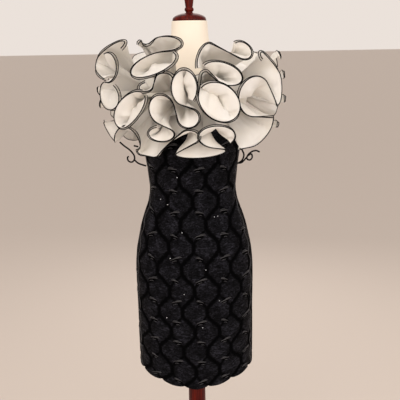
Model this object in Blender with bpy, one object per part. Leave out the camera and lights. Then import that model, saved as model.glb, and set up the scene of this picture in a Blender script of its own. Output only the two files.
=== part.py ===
"""Cocktail dress with a ruffled organza collar, standing on a turned-wood dress form.

Metres, +Z up. The origin is on the floor, under the middle of the base. The front faces -Y,
and +X is on the right of someone who looks at the front.
"""

import math
from collections import namedtuple

import bmesh
import bpy
import numpy as np
from mathutils import Vector

# General sizes
MM = 0.001
SEAM_GAP = 0.3 * MM
TURN = 2 * math.pi
SHARP_ANGLE = math.radians(40)

# Dress form: turned wood and a cloth-covered torso
BASE_RADIUS = 0.200
BASE_HEIGHT = 0.028
BASE_EDGE = 0.008
POLE_RADIUS = 0.028
SOCKET_RADIUS = 0.042
SOCKET_HEIGHT = 0.034
FORM_BOTTOM = 1.000
NECK_TOP = 1.787
FORM_COLUMNS = 32
FORM_SLACK_UNDER_SHEATH = 1.2 * MM
ROUND_SIDES = 24
CAP_RADIUS = 0.0475
CAP_HEIGHT = 0.022
CAP_RIM = 0.004
FINIAL = (
    # height over the cap, radius
    (0.0, 0.0100),
    (0.0020, 0.0095),
    (0.0050, 0.0122),
    (0.0085, 0.0130),
    (0.0120, 0.0122),
    (0.0145, 0.0100),
    (0.0170, 0.0105),
    (0.0260, 0.0118),
    (0.0370, 0.0130),
    (0.0480, 0.0138),
    (0.0580, 0.0132),
    (0.0665, 0.0108),
    (0.0720, 0.0065),
    (0.0735, 0.0),
)

# The general figure that the form and the cut of the dress share: height, then half the
# width, then the depth in front of and behind the axis
Section = namedtuple("Section", "height half_width front back")
FIGURE = [Section(*row) for row in (
    # height, half width, front, back
    (0.670, 0.1740, 0.1190, 0.1120),
    (0.740, 0.1755, 0.1190, 0.1130),
    (0.825, 0.1755, 0.1180, 0.1130),
    (0.932, 0.1745, 0.1170, 0.1140),
    (1.000, 0.1750, 0.1170, 0.1170),
    (1.056, 0.1745, 0.1160, 0.1190),
    (1.116, 0.1695, 0.1120, 0.1180),
    (1.156, 0.1615, 0.1080, 0.1130),
    (1.195, 0.1525, 0.1040, 0.1060),
    (1.234, 0.1400, 0.0990, 0.0970),
    (1.272, 0.1270, 0.0950, 0.0890),
    (1.310, 0.1215, 0.0950, 0.0840),
    (1.347, 0.1240, 0.1010, 0.0840),
    (1.400, 0.1300, 0.1120, 0.0880),
    (1.450, 0.1380, 0.1200, 0.0930),
    (1.500, 0.1460, 0.1180, 0.0980),
    (1.550, 0.1550, 0.1070, 0.1010),
    (1.600, 0.1660, 0.0920, 0.1000),
    (1.630, 0.1720, 0.0800, 0.0940),
    (1.650, 0.1700, 0.0710, 0.0860),
    (1.662, 0.1560, 0.0640, 0.0780),
    (1.675, 0.1280, 0.0575, 0.0700),
    (1.690, 0.0930, 0.0530, 0.0620),
    (1.705, 0.0690, 0.0515, 0.0560),
    (1.725, 0.0565, 0.0510, 0.0530),
    (1.750, 0.0525, 0.0505, 0.0515),
    (NECK_TOP, 0.0500, 0.0500, 0.0500),
)]
FIGURE_SQUARENESS = 2.25

# Sheath: ribbon-work lace on its lining, in a front and two backs
SHEATH_TOP = 1.500
SHEATH_HEM = 0.692
SHEATH_EASE = 2.8 * MM
SHEATH_WALL = 2.0 * MM
HEM_RISE_AT_SIDES = 0.040
HEM_RISE_POWER = 1.5
HEM_LOBE = 0.006
HEM_LOBE_REACH = 0.050
HEM_RISE_REACH = 0.300
DIAMOND_WIDTH = 0.0720
DIAMOND_SIDE = 0.0270
DIAMOND_PITCH = 0.0673
DIAMOND_FIRST_ROW = 1.3534
SIDE_CUTS = (-0.93, -0.80, 0.80, 0.93)
GROOVE_HALF_WIDTH = 3.2 * MM
RELIEF_AT_EDGE = 1.9 * MM
RELIEF_AT_MIDDLE = 2.8 * MM
SAME_POINT = 0.1 * MM

# Collar base: plain organza over the shoulders, to which the flounces are sewn
YOKE_BOTTOM = SHEATH_TOP + SEAM_GAP
YOKE_NECKLINE = 1.690
YOKE_SCOOP_DEPTH = 0.050
YOKE_SCOOP_SPREAD = math.radians(27)
YOKE_EASE = 1.0 * MM
YOKE_WALL = 1.5 * MM
YOKE_COLUMNS = FORM_COLUMNS
YOKE_ROWS = (0.0, 0.050, 0.255, 0.521, 0.681, 0.787, 0.851, 0.920, 1.0)

# Flounces: strips whose free edge winds over a rounded surface round the shoulders
FLOUNCE_WALL = 1.7 * MM
FLOUNCE_SEAT = 0.7 * MM
EDGE_HALF_WIDTH = 0.272
EDGE_FRONT = 0.235
EDGE_BACK = 0.240
EDGE_MIDDLE = 1.585
EDGE_REACH = 0.170
EDGE_DRAW_IN_ABOVE = 0.045
EDGE_DRAW_IN_BELOW = 0.075
AROUND_RADIUS = 0.250
FLOUNCE_LEVELS = (0.0, 0.30, 0.66, 1.0)
FUNNEL_POWER = 1.25
OUTWARD_POWER = 0.88
ARC_STEP = math.radians(42)
STRAIGHT_STEP = 0.052

# One row for each fold of a flounce's free edge. Around is the angle from centre front,
# towards +X, in degrees. Height is the middle of the fold's mouth, and wide and tall are half
# its size, all in mm. Tilt is in degrees. Turn is 1 where the edge winds anticlockwise round
# the fold, seen from outside, and -1 where it winds clockwise. Proud is how far the fold
# stands out past the others, in mm. Each flounce's first pair is how far its edge winds round
# its first and last folds, in degrees, before it ends.
Fold = namedtuple("Fold", "around height wide tall tilt turn proud")
FRONT_FLOUNCES = {
    # around, height, wide, tall, tilt, turn, proud
    "flounce_neck_left": ((60, 120), (
        (-57.5, 1645, 5, 5, 0, -1, 2),
        (-80, 1677, 8, 9, 0, -1, 2),
        (-57, 1706, 66, 17, 22, -1, 0),
    )),
    "flounce_neck_front": ((120, 320), (
        (-31, 1727, 4, 6, 0, -1, -4),
        (-26.3, 1739, 18, 13, 4, 1, -4),
        (-14, 1727, 42, 17, -3, -1, -4),
        (-20, 1677, 60, 24.5, 21, 1, 4),
    )),
    "flounce_neck_right": ((150, 245), (
        (9.3, 1692, 18, 36, -24, -1, 0),
        (31.5, 1707, 27, 21, -10, 1, 4),
    )),
    "flounce_scoop": ((250, 160), (
        (-24, 1622, 18, 11, 10, 1, 0),
        (-13.5, 1643, 20, 13, -4, -1, 0),
    )),
    "flounce_breast_right": ((262, 340), (
        (18.5, 1652, 50, 26, -20, -1, 0),
        (8.6, 1649, 9, 9, 0, 1, 0),
        (15.8, 1582, 57, 42, -46, 1, 8),
    )),
    "flounce_centre": ((300, 300), (
        (-2.8, 1620, 29, 43, 0, 1, 6),
        (-1, 1544, 25, 25, 20, -1, 4),
        (-15, 1565, 31, 38, 8, 1, 6),
        (-17.3, 1501, 34, 20, 4, -1, 5),
    )),
    "flounce_shoulder_left": ((190, 305), (
        (-57, 1668, 52, 38, -10, -1, 0),
        (-55, 1595, 50, 37, -4, 1, -2),
    )),
    "flounce_breast_left": ((0, 338), (
        (-36, 1562, 66, 30, 42, 1, 8),
    )),
    "flounce_shoulder_right": ((200, 60), (
        (48, 1693, 9, 9, 0, -1, -4),
        (61, 1607, 26, 46, 6, -1, 0),
        (40, 1590, 54, 52, 0, 1, -4),
        (59, 1519, 8, 8, 0, -1, -2),
        (50, 1489, 52, 38, 20, -1, 0),
        (38, 1452, 6, 5, 0, -1, -4),
    )),
    "flounce_hem_front": ((200, 290), (
        (-70, 1490, 20, 27, 0, 1, 0),
        (-43, 1482, 36, 35, 0, -1, 0),
        (-41, 1441, 6, 6, 0, 1, 0),
        (-29, 1444, 24, 14, 10, 1, -2),
        (-0.6, 1492, 24.5, 19, -8, -1, -2),
        (7, 1442, 80, 14, 2, 1, -6),
        (16, 1490, 50, 31, -8, -1, 4),
    )),
}

# Back flounces, which wind up and down by turns with small differences between folds
Tier = namedtuple("Tier", "height folds wide tall swing start stop")
BACK_FLOUNCES = {
    # middle height, folds, half width, half height, swing up and down, first and last angle
    "flounce_neck_back": (1677, 9, 44, 11, 11, 86, 264),
    "flounce_shoulder_back": (1613, 10, 45, 15, 16, 83, 268),
    "flounce_blade_back": (1541, 9, 48, 16, 18, 81, 267),
    "flounce_hem_back": (1469, 9, 47, 14, 16, 83, 267),
}
BACK_END_SWEEP = 200
BACK_TILT = 9
BACK_VARIETY = 0.12

# The seam of the flounces on the collar base: the same layout drawn closer together, with
# each fold narrowed to a small gather
EDGE_LOWEST = 1.415
EDGE_HIGHEST = 1.745
ROOT_LOWEST = 1.517
ROOT_HIGHEST = 1.657
ROOT_SCOOP_SHARE = 0.42
ROOT_AROUND_SHARE = 0.95
GATHER_SHARE = 0.15
GATHER_SMALLEST = 2.6


def clear_scene():
    """Remove everything that the starting file holds."""
    for item in list(bpy.data.objects):
        bpy.data.objects.remove(item, do_unlink=True)


def make_material(name, colour, roughness, metallic=0.0):
    """A plain Principled material."""
    material = bpy.data.materials.new(name)
    material.use_nodes = True
    shader = material.node_tree.nodes["Principled BSDF"]
    shader.inputs["Base Color"].default_value = (*colour, 1.0)
    shader.inputs["Roughness"].default_value = roughness
    shader.inputs["Metallic"].default_value = metallic
    return material


def add_object(name, bm, material):
    """Turn a closed bmesh into an object whose faces point outwards."""
    bmesh.ops.recalc_face_normals(bm, faces=bm.faces)
    mesh = bpy.data.meshes.new(name)
    bm.to_mesh(mesh)
    bm.free()
    mesh.materials.append(material)
    mesh.shade_smooth()
    mesh.set_sharp_from_angle(angle=SHARP_ANGLE)
    item = bpy.data.objects.new(name, mesh)
    bpy.context.scene.collection.objects.link(item)
    return item


def turned(name, profile, material, sides=ROUND_SIDES):
    """A turned piece. The profile runs from the axis at the bottom to the axis at the top."""
    bm = bmesh.new()
    points = [bm.verts.new((radius, 0.0, height)) for radius, height in profile]
    edges = [bm.edges.new(pair) for pair in zip(points, points[1:])]
    bmesh.ops.spin(bm, geom=points + edges, cent=(0, 0, 0), axis=(0, 0, 1), angle=TURN,
                   steps=sides, use_merge=True)
    bmesh.ops.remove_doubles(bm, verts=bm.verts, dist=0.05 * MM)
    return add_object(name, bm, material)


def smooth_curve(xs, ys, x):
    """A smooth curve through table rows, which never swings past them."""
    xs = np.asarray(xs, float)
    ys = np.asarray(ys, float)
    step = np.diff(xs)
    slope = np.diff(ys) / step
    tangent = np.zeros(len(xs))
    tangent[0] = slope[0]
    tangent[-1] = slope[-1]
    for i in range(1, len(xs) - 1):
        if slope[i - 1] * slope[i] > 0:
            before = 2 * step[i] + step[i - 1]
            after = step[i] + 2 * step[i - 1]
            tangent[i] = (before + after) / (before / slope[i - 1] + after / slope[i])
    x = float(np.clip(x, xs[0], xs[-1]))
    i = int(np.clip(np.searchsorted(xs, x) - 1, 0, len(xs) - 2))
    t = (x - xs[i]) / step[i]
    rise = (1 + 2 * t) * (1 - t) ** 2 * ys[i] + t * t * (3 - 2 * t) * ys[i + 1]
    bend = t * (1 - t) ** 2 * tangent[i] - t * t * (1 - t) * tangent[i + 1]
    return rise + step[i] * bend


FIGURE_HEIGHTS = [section.height for section in FIGURE]


def figure_section(height):
    """Half width, front and back depth of the figure at a height."""
    return [smooth_curve(FIGURE_HEIGHTS, [section[k] for section in FIGURE], height)
            for k in (1, 2, 3)]


def rounded(value):
    """Sine or cosine of a rounded, slightly squared oval."""
    return math.copysign(abs(value) ** (2 / FIGURE_SQUARENESS), value)


def figure_point(around, height):
    """The point of the figure's surface at an angle and a height."""
    half_width, front, back = figure_section(height)
    across = rounded(math.sin(around))
    ahead = rounded(math.cos(around))
    return np.array([half_width * across, -(front if ahead > 0 else back) * ahead, height])


def unit(vectors):
    """Vectors of length one."""
    return vectors / np.linalg.norm(vectors, axis=-1, keepdims=True)


def figure_normal(around, height):
    """The surface's outward normal, from points close by."""
    step = math.radians(2)
    along = figure_point(around + step, height) - figure_point(around - step, height)
    low = max(height - 4 * MM, FIGURE_HEIGHTS[0])
    high = min(height + 4 * MM, FIGURE_HEIGHTS[-1])
    rise = figure_point(around, high) - figure_point(around, low)
    return unit(np.cross(along, rise))


def figure_offset(around, height, out):
    """The point at a distance outside the figure."""
    return figure_point(around, height) + out * figure_normal(around, height)


def ring_faces(bm, lower, upper):
    """Quads between two closed rings of the same count."""
    count = len(lower)
    for i in range(count):
        j = (i + 1) % count
        bm.faces.new((lower[i], lower[j], upper[j], upper[i]))


def make_form(material):
    """The torso of the dress form: rings of the figure, closed at the bottom and the neck."""
    bm = bmesh.new()
    rings = []
    for height in [h for h in FIGURE_HEIGHTS if h >= FORM_BOTTOM]:
        angles = [TURN * i / FORM_COLUMNS for i in range(FORM_COLUMNS)]
        out = -FORM_SLACK_UNDER_SHEATH if height <= SHEATH_TOP else 0.0
        rings.append([bm.verts.new(figure_offset(angle, height, out)) for angle in angles])
    for lower, upper in zip(rings, rings[1:]):
        ring_faces(bm, lower, upper)
    bm.faces.new(reversed(rings[0]))
    bm.faces.new(rings[-1])
    return add_object("form_torso", bm, material)


def make_stand(wood):
    """Base, socket and pole below the torso, and the cap and finial on the neck."""
    turned("stand_base", [
        (0.0, 0.0),
        (BASE_RADIUS - BASE_EDGE, 0.0),
        (BASE_RADIUS, BASE_EDGE),
        (BASE_RADIUS - 0.004, BASE_HEIGHT - BASE_EDGE),
        (BASE_RADIUS - 0.016, BASE_HEIGHT - 0.002),
        (BASE_RADIUS - 0.030, BASE_HEIGHT),
        (0.0, BASE_HEIGHT),
    ], wood, sides=40)
    bottom = BASE_HEIGHT + SEAM_GAP
    turned("stand_pole", [
        (0.0, bottom),
        (SOCKET_RADIUS, bottom),
        (SOCKET_RADIUS, bottom + 0.008),
        (SOCKET_RADIUS - 0.006, bottom + 0.016),
        (POLE_RADIUS + 0.003, bottom + SOCKET_HEIGHT - 0.006),
        (POLE_RADIUS, bottom + SOCKET_HEIGHT),
        (POLE_RADIUS, FORM_BOTTOM - SEAM_GAP),
        (0.0, FORM_BOTTOM - SEAM_GAP),
    ], wood, sides=24)
    cap = NECK_TOP + SEAM_GAP
    dome = [(CAP_RADIUS * math.cos(a), cap + CAP_RIM + (CAP_HEIGHT - CAP_RIM) * math.sin(a))
            for a in np.linspace(0.0, 1.25, 5)]
    flat = FINIAL[0][1] + 0.5 * MM
    turned("neck_cap", [(0.0, cap), (CAP_RADIUS - 1.5 * MM, cap)] + dome
           + [(flat, cap + CAP_HEIGHT), (0.0, cap + CAP_HEIGHT)], wood)
    foot = cap + CAP_HEIGHT + SEAM_GAP
    turned("finial", [(0.0, foot)] + [(radius, foot + up) for up, radius in FINIAL], wood,
           sides=24)


def side_arc(height, front, count=48):
    """Points of the figure's quarter from centre front, or centre back, to the side."""
    start = 0.0 if front else math.pi
    angles = [start + (0.5 * math.pi - start) * i / count for i in range(count + 1)]
    points = [figure_point(angle, height) for angle in angles]
    lengths = [0.0]
    for a, b in zip(points, points[1:]):
        lengths.append(lengths[-1] + float(np.linalg.norm(b - a)))
    return angles, lengths


SHEATH_LEVELS = np.linspace(SHEATH_HEM - 0.02, SHEATH_TOP + 0.02, 60)
SIDE_ARCS = {front: [side_arc(level, front) for level in SHEATH_LEVELS]
             for front in (True, False)}


def half_girth(height, front):
    """Length of cloth from centre front, or centre back, to the side seam."""
    return float(np.interp(height, SHEATH_LEVELS, [arc[1][-1] for arc in SIDE_ARCS[front]]))


def sheath_point(share, height, front, out):
    """A point of the sheath: share runs from -1 to 1 across the front or the back."""
    level = int(np.clip(np.searchsorted(SHEATH_LEVELS, height), 0, len(SHEATH_LEVELS) - 1))
    angles, lengths = SIDE_ARCS[front][level]
    around = float(np.interp(min(abs(share), 1.0) * lengths[-1], lengths, angles))
    if share < 0:
        around = -around
    return figure_offset(around, height, out)


def hem_height(height, around_share, lobes):
    """Lift the hem towards the sides and let it wave between the diamonds."""
    above = height - SHEATH_HEM
    wave = HEM_LOBE * (abs(math.cos(math.pi * lobes)) - 0.5)
    rise = HEM_RISE_AT_SIDES * math.sin(0.5 * math.pi * min(abs(around_share), 1.0)) ** HEM_RISE_POWER
    near = max(0.0, 1.0 - above / HEM_LOBE_REACH)
    far = max(0.0, 1.0 - above / HEM_RISE_REACH)
    return height + rise * far * far - wave * near


def lattice(low, high, half_width, raised):
    """Flat cloth of pointed six-sided diamonds, raised inside their grooves or plain."""
    bm = bmesh.new()
    corners = {}
    tip = (2 * DIAMOND_PITCH - DIAMOND_SIDE) / 2
    outline = ((0, tip), (-0.5 * DIAMOND_WIDTH, 0.5 * DIAMOND_SIDE),
               (-0.5 * DIAMOND_WIDTH, -0.5 * DIAMOND_SIDE), (0, -tip),
               (0.5 * DIAMOND_WIDTH, -0.5 * DIAMOND_SIDE),
               (0.5 * DIAMOND_WIDTH, 0.5 * DIAMOND_SIDE))

    def corner(x, z):
        key = (round(10 * x / MM), round(10 * z / MM))
        if key not in corners:
            corners[key] = bm.verts.new((x, 0.0, z))
        return corners[key]

    first = math.floor((low - DIAMOND_FIRST_ROW) / DIAMOND_PITCH) - 1
    last = math.ceil((high - DIAMOND_FIRST_ROW) / DIAMOND_PITCH) + 1
    columns = math.ceil(half_width / DIAMOND_WIDTH) + 1
    for row in range(first, last + 1):
        shift = 0.5 * DIAMOND_WIDTH if row % 2 else 0.0
        for column in range(-columns, columns + 1):
            x = column * DIAMOND_WIDTH + shift
            z = DIAMOND_FIRST_ROW + row * DIAMOND_PITCH
            bm.faces.new([corner(x + dx, z + dz) for dx, dz in outline])
    cells = list(bm.faces)
    if raised:
        bm.normal_update()
        bmesh.ops.inset_individual(bm, faces=cells, thickness=GROOVE_HALF_WIDTH,
                                   use_even_offset=True)
        for vertex in {v for face in cells for v in face.verts}:
            vertex.co.y = RELIEF_AT_EDGE
    poked = bmesh.ops.poke(bm, faces=cells)
    if raised:
        for vertex in poked["verts"]:
            vertex.co.y = RELIEF_AT_MIDDLE
    return bm


def cut_flat(bm, point, normal):
    """Cut flat cloth along a line and drop the side that the normal points to."""
    bmesh.ops.bisect_plane(bm, geom=list(bm.verts) + list(bm.edges) + list(bm.faces),
                           dist=1e-6, plane_co=point, plane_no=normal, clear_outer=True)


def cut_cloth(front, left, right, raised):
    """Lattice cloth cut to a panel: x is the share of the girth, z the height."""
    widest = max(half_girth(level, front) for level in SHEATH_LEVELS)
    bm = lattice(SHEATH_HEM - 0.01, SHEATH_TOP + 0.01, widest, raised)
    cut_flat(bm, (0, 0, SHEATH_TOP), (0, 0, 1))
    cut_flat(bm, (0, 0, SHEATH_HEM), (0, 0, -1))
    for vertex in bm.verts:
        vertex.co.x /= half_girth(vertex.co.z, front)
    trim = 0.5 * SEAM_GAP / half_girth(SHEATH_TOP, front)
    cut_flat(bm, (left + trim, 0, 0), (-1, 0, 0))
    cut_flat(bm, (right - trim, 0, 0), (1, 0, 0))
    for share in SIDE_CUTS:
        bmesh.ops.bisect_plane(bm, geom=list(bm.verts) + list(bm.edges) + list(bm.faces),
                               dist=1e-6, plane_co=(share, 0, 0), plane_no=(1, 0, 0))
    bmesh.ops.remove_doubles(bm, verts=bm.verts, dist=SAME_POINT)
    return bm


def flat_key(vertex):
    """A boundary point's place in the flat panel."""
    return (round(vertex.co.x, 5), round(vertex.co.z, 5))


def match_boundary(plain, wanted):
    """Give the plain cloth's boundary the same points as the raised cloth's boundary."""
    places = {key: Vector((key[0], 0.0, key[1])) for key in sorted(wanted)}
    for vertex in [v for v in plain.verts if v.is_boundary and flat_key(v) not in wanted]:
        vertex.co = min(places.values(), key=lambda place: (place - vertex.co).length)
    bmesh.ops.remove_doubles(plain, verts=plain.verts, dist=0.1 * SAME_POINT)
    have = {flat_key(v) for v in plain.verts if v.is_boundary}
    for place in [place for key, place in places.items() if key not in have]:
        best = None
        for edge in [e for e in plain.edges if e.is_boundary]:
            start, end = (v.co.copy() for v in edge.verts)
            along = end - start
            share = (place - start).dot(along) / along.length_squared
            miss = (start + share * along - place).length
            if 0 < share < 1 and (best is None or miss < best[0]):
                best = (miss, edge, share)
        bmesh.utils.edge_split(best[1], best[1].verts[0], best[2])[1].co = place


def sheath_panel(name, front, left, right, material):
    """One panel of the sheath, raised outside and plain inside."""
    raised = cut_cloth(front, left, right, True)
    plain = cut_cloth(front, left, right, False)
    match_boundary(plain, {flat_key(v) for v in raised.verts if v.is_boundary})
    panel = bmesh.new()
    stores = []
    for cloth, out in ((raised, SHEATH_EASE + SHEATH_WALL), (plain, SHEATH_EASE)):
        bmesh.ops.triangulate(cloth, faces=cloth.faces)
        store = {}
        for vertex in cloth.verts:
            share, relief, height = vertex.co
            lobes = share * half_girth(height, front) / DIAMOND_WIDTH
            height = hem_height(height, share, lobes)
            place = sheath_point(share, height, front, out + relief)
            store[vertex] = panel.verts.new(place)
        for face in cloth.faces:
            panel.faces.new([store[v] for v in face.verts])
        stores.append(store)
    outer, inner = stores
    rim = {flat_key(v): inner[v] for v in plain.verts if v.is_boundary}
    for edge in raised.edges:
        if edge.is_boundary:
            a, b = edge.verts
            panel.faces.new((outer[a], outer[b], rim[flat_key(b)], rim[flat_key(a)]))
    raised.free()
    plain.free()
    return add_object(name, panel, material)


def wall_from_grids(name, outer, inner, closed, material):
    """A wall between two grids of points, closed round or open-ended."""
    bm = bmesh.new()
    sides = [[[bm.verts.new(point) for point in row] for row in grid] for grid in (outer, inner)]
    rows = len(outer)
    columns = len(outer[0])
    spans = columns if closed else columns - 1
    for grid in sides:
        for r in range(rows - 1):
            for c in range(spans):
                d = (c + 1) % columns
                bm.faces.new((grid[r][c], grid[r][d], grid[r + 1][d], grid[r + 1][c]))
    for r in (0, rows - 1):
        for c in range(spans):
            d = (c + 1) % columns
            bm.faces.new((sides[0][r][c], sides[0][r][d], sides[1][r][d], sides[1][r][c]))
    if not closed:
        for c in (0, columns - 1):
            for r in range(rows - 1):
                bm.faces.new((sides[0][r][c], sides[0][r + 1][c],
                              sides[1][r + 1][c], sides[1][r][c]))
    return add_object(name, bm, material)


def neckline(around):
    """Height of the collar base's upper edge, scooped at centre front."""
    turn = (around + math.pi) % TURN - math.pi
    return YOKE_NECKLINE - YOKE_SCOOP_DEPTH * math.exp(-(turn / YOKE_SCOOP_SPREAD) ** 2)


def make_yoke(material):
    """The collar base, made from the figure's points moved out."""
    grids = []
    for extra in (YOKE_WALL, 0.0):
        grid = []
        for share in YOKE_ROWS:
            row = []
            for i in range(YOKE_COLUMNS):
                around = TURN * i / YOKE_COLUMNS
                height = YOKE_BOTTOM + share * (neckline(around) - YOKE_BOTTOM)
                flare = SHEATH_EASE - YOKE_EASE if share == 0.0 else 0.0
                row.append(figure_offset(around, height, YOKE_EASE + extra + flare))
            grid.append(row)
        grids.append(grid)
    return wall_from_grids("collar_base", grids[0], grids[1], True, material)


def edge_surface(around, height, proud):
    """The rounded surface that the flounces' free edges lie on, and its outward direction."""
    lift = (height - EDGE_MIDDLE) / EDGE_REACH
    if lift > 0:
        drawn = EDGE_DRAW_IN_ABOVE * lift ** 3
    else:
        drawn = EDGE_DRAW_IN_BELOW * lift ** 2
    half_width = EDGE_HALF_WIDTH - drawn
    depth = (EDGE_FRONT if math.cos(around) > 0 else EDGE_BACK) - drawn
    outward = np.array([math.sin(around) / half_width, -math.cos(around) / depth, 0.0])
    outward /= np.linalg.norm(outward)
    place = np.array([half_width * math.sin(around), -depth * math.cos(around), height])
    return place + proud * outward, outward


def fold_point(fold, phase):
    """A point of a fold's mouth, on the flattened edge surface."""
    tilt = math.radians(fold.tilt)
    across = fold.wide * MM * math.cos(phase)
    up = fold.tall * MM * math.sin(phase)
    centre = math.radians(fold.around) * AROUND_RADIUS
    return np.array([centre + across * math.cos(tilt) - up * math.sin(tilt),
                     fold.height * MM + across * math.sin(tilt) + up * math.cos(tilt)])


def phase_heading(fold, heading):
    """Where on a fold the edge runs in a heading, given which way it winds."""
    local = heading - math.radians(fold.tilt)
    return math.atan2(-fold.turn * math.cos(local) / fold.wide,
                      fold.turn * math.sin(local) / fold.tall)


def crossing(leaving, arriving, tries=720):
    """Phases where a straight stretch leaves one fold and reaches the next along its edge."""
    best = None
    for k in range(tries):
        heading = TURN * k / tries
        start = phase_heading(leaving, heading)
        stop = phase_heading(arriving, heading)
        run = fold_point(arriving, stop) - fold_point(leaving, start)
        miss = abs((math.atan2(run[1], run[0]) - heading + math.pi) % TURN - math.pi)
        if best is None or miss < best[0]:
            best = (miss, start, stop)
    return best[1], best[2]


def winding_edge(folds, end_sweeps):
    """The free edge as a belt round its folds: points, how far proud, and fold positions."""
    pairs = [crossing(a, b) for a, b in zip(folds, folds[1:])]
    first_sweep, last_sweep = (math.radians(sweep) for sweep in end_sweeps)
    points = []
    proud = []
    middles = []
    for i, fold in enumerate(folds):
        arrive = pairs[i - 1][1] if i > 0 else None
        leave = pairs[i][0] if i < len(folds) - 1 else None
        if arrive is None and leave is None:
            arrive = 0.5 * (TURN - last_sweep) * fold.turn
            sweep = last_sweep
        elif arrive is None:
            arrive = leave - fold.turn * first_sweep
            sweep = first_sweep
        elif leave is None:
            sweep = last_sweep
        else:
            sweep = (fold.turn * (leave - arrive)) % TURN
            if sweep > TURN - math.radians(20):
                sweep = 0.0
        steps = max(2, round(sweep / ARC_STEP)) if sweep else 0
        middles.append(len(points) + steps // 2)
        for k in range(steps + 1):
            points.append(fold_point(fold, arrive + fold.turn * sweep * k / steps))
            proud.append(fold.proud * MM)
        if leave is not None:
            origin = points[-1]
            run = fold_point(folds[i + 1], pairs[i][1]) - origin
            between = int(np.linalg.norm(run) / STRAIGHT_STEP)
            for k in range(1, between + 1):
                points.append(origin + run * k / (between + 1))
                proud.append(0.5 * MM * (fold.proud + folds[i + 1].proud))
    return np.array(points), np.array(proud), middles


def collar_base_point(around, height, out):
    """A point outside the collar base, on the flat stretch between two of its columns."""
    column = around * YOKE_COLUMNS / TURN
    low = math.floor(column)
    a, b = (figure_offset(TURN * i / YOKE_COLUMNS, height, YOKE_EASE + YOKE_WALL + out)
            for i in (low, low + 1))
    return a + (column - low) * (b - a)


def root_points(folds, edge, middles):
    """The seam under a flounce: the folds' layout drawn in, each narrowed to a gather.

    Gives its points and the collar base's outward direction at each.
    """
    index = np.arange(len(edge))
    centre = np.array([(math.radians(f.around) * AROUND_RADIUS, f.height * MM) for f in folds])
    gathers = [max(GATHER_SHARE, GATHER_SMALLEST / min(f.wide, f.tall)) for f in folds]
    points = []
    normals = []
    for i in index:
        middle = np.array([np.interp(i, middles, centre[:, k]) for k in (0, 1)])
        gather = np.interp(i, middles, gathers)
        across, up = (edge[i] - middle) * gather
        around = (middle[0] * ROOT_AROUND_SHARE + across) / AROUND_RADIUS
        highest = ROOT_HIGHEST - ROOT_SCOOP_SHARE * (YOKE_NECKLINE - neckline(around))
        share = (middle[1] - EDGE_LOWEST) / (EDGE_HIGHEST - EDGE_LOWEST)
        height = ROOT_LOWEST + share * (highest - ROOT_LOWEST) + up
        points.append(collar_base_point(around, height, FLOUNCE_SEAT))
        normals.append(figure_normal(around, height))
    return points, np.array(normals)


def flounce_grid(folds, end_sweeps):
    """Rows of points from a flounce's seam to its free edge, and the seam's normals."""
    edge, proud, middles = winding_edge(folds, end_sweeps)
    roots, root_normals = root_points(folds, edge, middles)
    rows = [[] for _ in FLOUNCE_LEVELS]
    for root, (across, up), extra in zip(roots, edge, proud):
        tip, outward = edge_surface(across / AROUND_RADIUS, up, extra)
        reach = tip - root
        out = float(reach @ outward) * outward
        sideways = reach - out
        for row, level in zip(rows, FLOUNCE_LEVELS):
            row.append(root + sideways * level ** FUNNEL_POWER + out * level ** OUTWARD_POWER)
    return np.array(rows), root_normals


def grid_normals(grid):
    """Unit normals of a grid of points."""
    return unit(np.cross(np.gradient(grid, axis=1), np.gradient(grid, axis=0)))


def make_flounce(name, folds, end_sweeps, material):
    """One flounce: a wall on both sides of its grid."""
    grid, root_normals = flounce_grid([Fold(*row) for row in folds], end_sweeps)
    sides = grid_normals(grid)
    lean = np.sum(sides[0] * root_normals, axis=1, keepdims=True)
    sides[0] = unit(sides[0] - lean * root_normals)
    shift = 0.5 * FLOUNCE_WALL * sides
    return wall_from_grids(name, grid + shift, grid - shift, False, material)


def tier_folds(tier):
    """Folds of a back tier, which turn up and down by turns and differ a little in size."""
    rows = []
    for i in range(tier.folds):
        around = tier.start + (tier.stop - tier.start) * (i + 0.5) / tier.folds
        up = 1 if i % 2 == 0 else -1
        vary = math.sin(2.4 * i + 0.01 * tier.height)
        tilt = BACK_TILT * math.cos(1.7 * i + 0.01 * tier.height)
        rows.append((around + 2 * vary, tier.height + up * tier.swing,
                     tier.wide * (1 + BACK_VARIETY * vary), tier.tall * (1 - BACK_VARIETY * vary),
                     tilt, -up, 5 * vary))
    return rows


def build():
    """Make every piece."""
    clear_scene()
    wood = make_material("mahogany", (0.190, 0.033, 0.017), 0.28)
    cream = make_material("cream_cover", (0.870, 0.790, 0.660), 0.85)
    black = make_material("black_ribbon_lace", (0.009, 0.009, 0.011), 0.50)
    organza = make_material("ivory_organza", (0.750, 0.680, 0.590), 0.45)
    make_stand(wood)
    make_form(cream)
    sheath_panel("sheath_front", True, -1.0, 1.0, black)
    sheath_panel("sheath_back_left", False, -1.0, 0.0, black)
    sheath_panel("sheath_back_right", False, 0.0, 1.0, black)
    make_yoke(organza)
    for name, (end_sweeps, folds) in FRONT_FLOUNCES.items():
        make_flounce(name, folds, end_sweeps, organza)
    for name, row in BACK_FLOUNCES.items():
        make_flounce(name, tier_folds(Tier(*row)), (BACK_END_SWEEP, BACK_END_SWEEP), organza)


build()
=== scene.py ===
"""Looks of a cocktail dress on its dress form: corded organza flounces, ribbon lace, turned wood.

Metres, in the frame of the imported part: +Z up, the front faces -Y.
"""

import math
from collections import namedtuple
from functools import partial

import bmesh
import bpy
import numpy as np
from mathutils import Matrix, Vector


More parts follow.
